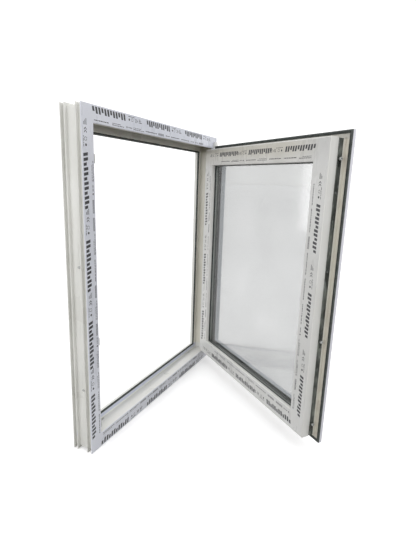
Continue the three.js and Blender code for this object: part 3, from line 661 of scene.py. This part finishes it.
def ring_marks(x, y, radius, thick):
    """The four quarters of a thin circle."""
    marks = []
    for start in range(0, 360, 90):
        low, high = start + 6, start + 84
        marks.append(arc(x, y, radius, low, high, 6) + arc(x, y, radius - thick, high, low, 6))
    return marks


def chevron(x, y, width, height, thick):
    half = height / 2
    return [(x, y + half), (x + thick, y + half), (x + width, y), (x + thick, y - half), (x, y - half),
            (x + width - thick, y)]


def stripe_block(x, y, height, pitch):
    """A row of heavy slanted strokes, every third one low."""
    marks = []
    for i in range(STROKES):
        left = x + i * pitch
        tall = height if i % 3 else height * 0.7
        lean = tall * 0.2
        low, high = y - height / 2, y - height / 2 + tall
        right = left + pitch * 0.66
        marks.append([(left, low), (right, low), (right + lean, high), (left + lean, high)])
    return marks


def dash_line(chance, x, y, length, height):
    """A line of short dashes of uneven length."""
    marks = []
    end = x + length
    while x < end:
        dash = chance.uniform(2.5, 8)
        marks.append(rounded_bar(x, y, dash, height, 0.3))
        x += dash + chance.uniform(1, 2.2)
    return marks


def small_group(chance, x, wide, tall):
    """The dots, rings, chevrons and short lines between two blocks of strokes."""
    heavy = [disc(x + 5, wide + tall * 0.15, tall * 0.2)]
    small = ring_marks(x + 20, wide + tall * 0.1, tall * 0.3, 1.3)
    small += dash_line(chance, x, wide - tall * 0.36, 28, 1.8)
    for k in range(2):
        small.append(chevron(x + 34 + 7 * k, wide + tall * 0.1, tall * 0.45, tall * 0.6, tall * 0.17))
    for k in range(3):
        small.append(rounded_bar(x + 54, wide + tall * (0.3 - 0.25 * k), 16 - 4 * k, 1.9, 0.3))
    return heavy, small


def wide_column(chance, start, stop, centre, tall):
    """Blocks of strokes with small groups between them, about every 235 mm; heavy marks and small ones."""
    heavy, small = [], []
    stroke = tall * 0.72
    count = max(1, round((stop - start) / 235))
    pitch = (stop - start) / count
    for i in range(count):
        x = start + i * pitch + chance.uniform(0, 8)
        heavy += stripe_block(x, centre, tall, stroke)
        after_block = x + STROKES * (stroke + 1)
        more_heavy, more_small = small_group(chance, after_block, centre, tall)
        heavy += more_heavy
        small += more_small
    return heavy, small


def narrow_column(chance, start, stop, narrow):
    """Lines, a dot with a line, a row of bars or a heavy line, drawn at random one after another."""
    heavy, small = [], []
    x = start + chance.uniform(4, 20)
    while x < stop - 90:
        kind = chance.randrange(4)
        if kind == 0:
            small += dash_line(chance, x, narrow + 2.2, 52, 2)
            small += dash_line(chance, x, narrow - 2.2, 40, 1.6)
            x += 66
        elif kind == 1:
            heavy.append(disc(x + 3, narrow, 2.6))
            small += dash_line(chance, x + 10, narrow, 16, 2.2)
            x += 36
        elif kind == 2:
            small += [rounded_bar(x + 2.6 * i, narrow, 1.4, 7, 0.2) for i in range(14)]
            x += 48
        else:
            heavy += dash_line(chance, x, narrow, 60, 2.6)
            x += 76
    return heavy, small


def print_piece(name, side, outlines, face_y, outwards, body, place, look):
    """One piece that holds every mark of one ink on one side; an outline is (along, r) in millimetres."""
    bm = bmesh.new()
    low = face_y + outwards * (FILM_GAP + FILM_THICK + 0.005)
    high = low + outwards * PRINT_THICK
    for outline in outlines:
        bottom = [bm.verts.new(at(side, r, low, along * MM)) for along, r in outline]
        top = [bm.verts.new(at(side, r, high, along * MM)) for along, r in outline]
        bm.faces.new(bottom[::-1])
        bm.faces.new(top)
        for i in range(len(outline)):
            after = (i + 1) % len(outline)
            bm.faces.new((bottom[i], bottom[after], top[after], top[i]))
    add_piece(name, mesh_of(bm, name, smooth=False), body, MATERIALS[look], place)


def build_prints():
    """The generic print of both films: a wide and a narrow column of marks along each side."""
    chance = random.Random(31)
    jobs = (("frame", 0.0, -1, (12.5, 17, 37.5), SHUT),
            ("sash", SASH_OUT, 1, (80, 16, 106), OPENED))
    for body, face_y, outwards, (wide, tall, narrow), place in jobs:
        for side in SIDES:
            start, stop = (value / MM for value in ends(side, narrow + 4))
            heavy, small = wide_column(chance, start, stop, wide, tall)
            more_heavy, more_small = narrow_column(chance, start, stop, narrow)
            name = f"{body}_print_{side}"
            print_piece(name, side, heavy + more_heavy, face_y, outwards, body, place, "film_print")
            small += more_small
            print_piece(name + "_small", side, small, face_y, outwards, body, place, "film_small_print")


# ---- seams, gaskets and small metal parts ----

def weld_seam(rail, place, hand):
    """A thin slab on the mitred end of a rail, at its low X end with hand -1 and its high X end with 1."""
    thick, clear = 0.19 * MM, 0.01 * MM
    bm = bmesh.new()
    bm.from_mesh(frame["nodes"][rail].data)
    bm.transform(place.inverted())
    bmesh.ops.remove_doubles(bm, verts=bm.verts, dist=1e-5)
    bm.normal_update()
    mitre = [face for face in bm.faces if face.normal.x * hand > 0.6 and abs(face.normal.z) > 0.6]
    outwards = mitre[0].normal.copy()
    others = set(bm.faces) - set(mitre)
    bmesh.ops.delete(bm, geom=list(others), context="FACES")
    bmesh.ops.translate(bm, verts=bm.verts, vec=outwards * clear)
    grown = bmesh.ops.extrude_face_region(bm, geom=bm.faces[:])["geom"]
    far = [item for item in grown if isinstance(item, bmesh.types.BMVert)]
    bmesh.ops.translate(bm, verts=far, vec=outwards * thick)
    return bm


def build_welds():
    """A thin seam of plastic in each mitre, made from the end of the rail beside it."""
    rails = (("frame_head", "frame", SHUT), ("frame_sill", "frame", SHUT),
             ("sash_top_rail", "sash", OPENED), ("sash_bottom_rail", "sash", OPENED))
    for rail, body, place in rails:
        for hand, end in ((-1, "left"), (1, "right")):
            name = f"{rail}_weld_{end}"
            slot = body + "_profile"
            mesh = mesh_of(weld_seam(rail, place, hand), name, smooth=False)
            add_piece(name, mesh, body, MATERIALS[slot], place)


def build_gaskets():
    """The two gaskets that show, with rounded lips in place of the plain sections."""
    frame_lip = [(59.75, 57.85), (65.8, 57.85), (66.7, 57.2), (66.8, 56.3), (66.1, 55.4), (65.5, 54.2),
                 (64.9, 52.8), (64.1, 51.8), (63.4, 51.25), (62.7, 51.15), (62.1, 51.6), (61.7, 52.4),
                 (61.2, 53.1), (60.6, 54.0), (60.1, 54.7), (59.75, 55.4)]
    glazing_lip = [(109.1, 34.2), (120.6, 34.2), (121.4, 34.4), (122.0, 34.95), (122.5, 35.8), (122.9, 36.7),
                   (122.8, 37.3), (122.4, 37.6), (121.8, 37.5), (121.2, 36.9), (120.4, 36.6), (118.3, 36.8),
                   (117.5, 37.8), (109.1, 37.8)]
    gasket = MATERIALS["gasket"]
    for name, section, body, place in (("frame_gasket", frame_lip, "frame", SHUT),
                                       ("glazing_gasket", glazing_lip, "sash", OPENED)):
        piece = add_piece(name + "_lipped", mesh_of(ring(section), name), body, gasket, place)
        soften(piece, 0)
        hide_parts(name)
    # The inner lip of the sash gasket, broken where the knuckles of the hinge arms pass.
    lip = [(42.75, -3.3), (45.2, -3.3), (45.5, -2.9), (45.2, -2.4), (44.3, -1.7), (43.4, -1.2), (42.75, -1.1)]
    arm_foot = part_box("hinge_arm_bottom")[0].z
    low, high = arm_foot - 0.001, arm_foot + KNUCKLE + 0.001
    spans = [(side, WHOLE) for side in ("head", "sill", "lock")]
    spans += [("hinge", span) for span in ((-1, low), (high, HEIGHT - high), (HEIGHT - low, 2))]
    for i, (side, span) in enumerate(spans, 1):
        mesh = mesh_of(mitred(side, lip, 0.02, span=span), "sash_gasket_lip")
        piece = add_piece(f"sash_gasket_lip_{i}", mesh, "sash", gasket, OPENED)
        soften(piece, 0)


def hexagon(half):
    """Radius of a hexagonal socket at an angle, from half its width across the flats."""
    return lambda angle: half / math.cos((angle + math.pi / 6) % (math.pi / 3) - math.pi / 6)


def cross_slot(radius):
    """Radius of a cross-shaped socket at an angle."""
    def at_angle(angle):
        from_arm = abs((angle + math.pi / 4) % (math.pi / 2) - math.pi / 4)
        return min(radius, radius * 0.3 / max(math.sin(from_arm), 0.01))
    return at_angle


def standing(point, direction):
    """Puts a turned piece's foot at a point, with its top in a direction."""
    return Matrix.Translation(point) @ Vector(direction).to_track_quat("Z", "Y").to_matrix().to_4x4()


def middle_level(node):
    """The height of a CAD node's middle."""
    low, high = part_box(node)
    return (low.z + high.z) / 2


def add_turned(name, profile, socket, depth, body, slot, place, replaced=None, look=None):
    """A turned piece in its place; it stands for a CAD node where replaced names one."""
    mesh = mesh_of(turned(profile, socket, depth), name)
    piece = add_piece(name, mesh, body, MATERIALS[look or slot], place)
    soften(piece, 0)
    if replaced:
        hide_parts(replaced)


def build_cams():
    """Cams with a rounded head, a groove and a hexagonal socket, in place of the plain ones."""
    profile = [(2.9, 0), (2.9, 4.0), (3.9, 4.1), (4.4, 4.35), (4.6, 4.9), (4.6, 6.9), (4.35, 7.1),
               (4.35, 7.5), (4.6, 7.7), (4.6, 9.6), (4.4, 10.3), (3.9, 10.7), (3.3, 10.8)]
    for name in ("cam_top", "cam_middle", "cam_bottom"):
        place = OPENED @ standing(at("lock", PLATE_BACK, GROOVE_Y, middle_level(name)), (-1, 0, 0))
        add_turned(name + "_roller", profile, hexagon(2), 2.6, "rod", "zinc_fitting", place, name)


def build_screws():
    """Screws with a cross socket in the faceplate, the jamb's channel, the keeps and the hinge arms."""
    plate = [(0.05, 0), (1.75, 4), (1.75, 21.9), (3.1, 23.5), (3.1, 23.7)]
    steel = [(0.05, 0), (1.9, 4), (1.9, 15.15), (4, 15.2), (3.95, 15.6), (3.5, 16.8), (2.7, 17.25),
             (2, 17.35)]
    low_head = [(1.9, 0), (1.9, 1.3), (3.4, 1.42), (3.35, 1.7), (2.7, 1.85), (2.2, 1.9)]
    arm = [(2.1, 0), (2.1, 2.5), (4.1, 2.65), (4.05, 3.1), (3.5, 3.7), (2.7, 3.95), (2.4, 4)]
    # Where the screws' feet stand: r inwards from the outer edge, in millimetres.
    in_sash, in_jamb, on_keep, on_arm = 80, 24, 45.75, 55.75
    steel_y = 32
    for name in ("faceplate_screw_1", "faceplate_screw_2", "faceplate_screw_3"):
        place = OPENED @ standing(at("lock", in_sash, GROOVE_Y, middle_level(name)), (-1, 0, 0))
        add_turned(name + "_cross", plate, cross_slot(1.9), 1.2, "sash", "screw", place, name, "plate_screw")
    for name in ("steel_screw_1", "steel_screw_2"):
        place = standing(at("lock", in_jamb, steel_y, middle_level(name)), (-1, 0, 0))
        add_turned(name + "_cross", steel, cross_slot(1.9), 1.3, "frame", "screw", place, name)
    for keep in ("keep_bottom", "keep_middle", "keep_top"):
        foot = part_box(keep)[0].z
        for i, rise in enumerate((5, 60), 1):
            place = standing(at("lock", on_keep, GROOVE_Y, foot + rise * MM), (1, 0, 0))
            add_turned(f"{keep}_screw_{i}", low_head, cross_slot(1.8), 0.9, "frame", "screw", place)
    arm_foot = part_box("hinge_arm_bottom")[0].z
    for end in ("bottom", "top"):
        for i, rise in enumerate((12, 34, 56, 78), 1):
            level = arm_foot + rise * MM
            height = level if end == "bottom" else HEIGHT - level
            place = OPENED @ standing(at("hinge", on_arm, GROOVE_Y, height), (1, 0, 0))
            add_turned(f"hinge_arm_{end}_screw_{i}", arm, cross_slot(2.1), 1.4, "sash", "screw", place)


# ---- camera, light and floor ----

def build_camera():
    """Looks from the room side and the left, a little down."""
    data = bpy.data.cameras.new("camera")
    data.sensor_width = 36
    data.lens = 26.55
    camera = bpy.data.objects.new("camera", data)
    camera.location = (-1.2786, -0.7446, 0.8177)
    camera.rotation_euler = [math.radians(angle) for angle in (76.768, -2.071, -65.433)]
    bpy.context.scene.collection.objects.link(camera)
    bpy.context.scene.camera = camera


def area_light(name, position, target, size, power):
    data = bpy.data.lights.new(name, "AREA")
    data.shape = "RECTANGLE"
    data.size, data.size_y = size
    data.energy = power
    light = bpy.data.objects.new(name, data)
    light.location = position
    light.rotation_euler = (Vector(target) - Vector(position)).to_track_quat("-Z", "Y").to_euler()
    bpy.context.scene.collection.objects.link(light)


def build_world():
    """White above the horizon and dim, warm below it."""
    world = bpy.data.worlds.new("world")
    world.use_nodes = True
    bpy.context.scene.world = world
    tree = world.node_tree
    background = tree.nodes["Background"]
    place = tree.nodes.new("ShaderNodeTexCoord")
    split = tree.nodes.new("ShaderNodeSeparateXYZ")
    ramp = tree.nodes.new("ShaderNodeValToRGB")
    ramp.color_ramp.elements[0].position = 0.47
    ramp.color_ramp.elements[0].color = (0.06, 0.056, 0.046, 1)
    ramp.color_ramp.elements[1].position = 0.5
    ramp.color_ramp.elements[1].color = (1, 1, 1, 1)
    overhead = ramp.color_ramp.elements.new(0.68)
    overhead.color = (1, 1, 1, 1)
    zenith = ramp.color_ramp.elements.new(0.95)
    zenith.color = (0.72, 0.72, 0.73, 1)
    half = tree.nodes.new("ShaderNodeMapRange")
    half.inputs["From Min"].default_value = -1
    tree.links.new(place.outputs["Generated"], split.inputs["Vector"])
    tree.links.new(split.outputs["Z"], half.inputs["Value"])
    tree.links.new(half.outputs["Result"], ramp.inputs["Fac"])
    tree.links.new(ramp.outputs["Color"], background.inputs["Color"])
    background.inputs["Strength"].default_value = 1.28


def build_floor():
    """A pale floor just below the window; it reaches the horizon and is about as bright as the world."""
    bm = bmesh.new()
    bmesh.ops.create_grid(bm, x_segments=1, y_segments=1, size=200)
    floor = bpy.data.objects.new("floor", mesh_of(bm, "floor"))
    floor.location.z = -0.0005
    look = Look("floor_look", 0.9, specular=0.0)
    look.shader.inputs["Emission Color"].default_value = (1, 1, 1, 1)
    look.shader.inputs["Emission Strength"].default_value = 0.27
    look.colour(look.ramp(look.noise(3, 2), [(0.3, (0.93, 0.93, 0.93)), (0.7, (0.95, 0.95, 0.95))]))
    floor.data.materials.append(look.material)
    floor.visible_diffuse = False
    bpy.context.scene.collection.objects.link(floor)


def build_stage():
    bpy.context.scene.view_settings.view_transform = "Standard"
    build_camera()
    build_world()
    build_floor()
    middle = (0, -0.1, 0.5)
    area_light("key", (-2.6, -2.6, 2.6), middle, (2.6, 2.6), 14)
    area_light("top", (0.5, 0.6, 3.2), middle, (2.4, 2.4), 5)
    area_light("left", (-3.4, 0.8, 1.3), middle, (1.8, 2.2), 22)
    area_light("right", (0.7, -3.2, 1.6), middle, (1.8, 2.2), 10)
    area_light("gleam", (-0.2, 3.2, 0.75), (-0.2, 0, 0.75), (0.3, 0.9), 2)


build_stage()
dress_cad()
build_films()
build_prints()
build_welds()
build_gaskets()
build_cams()
build_screws()
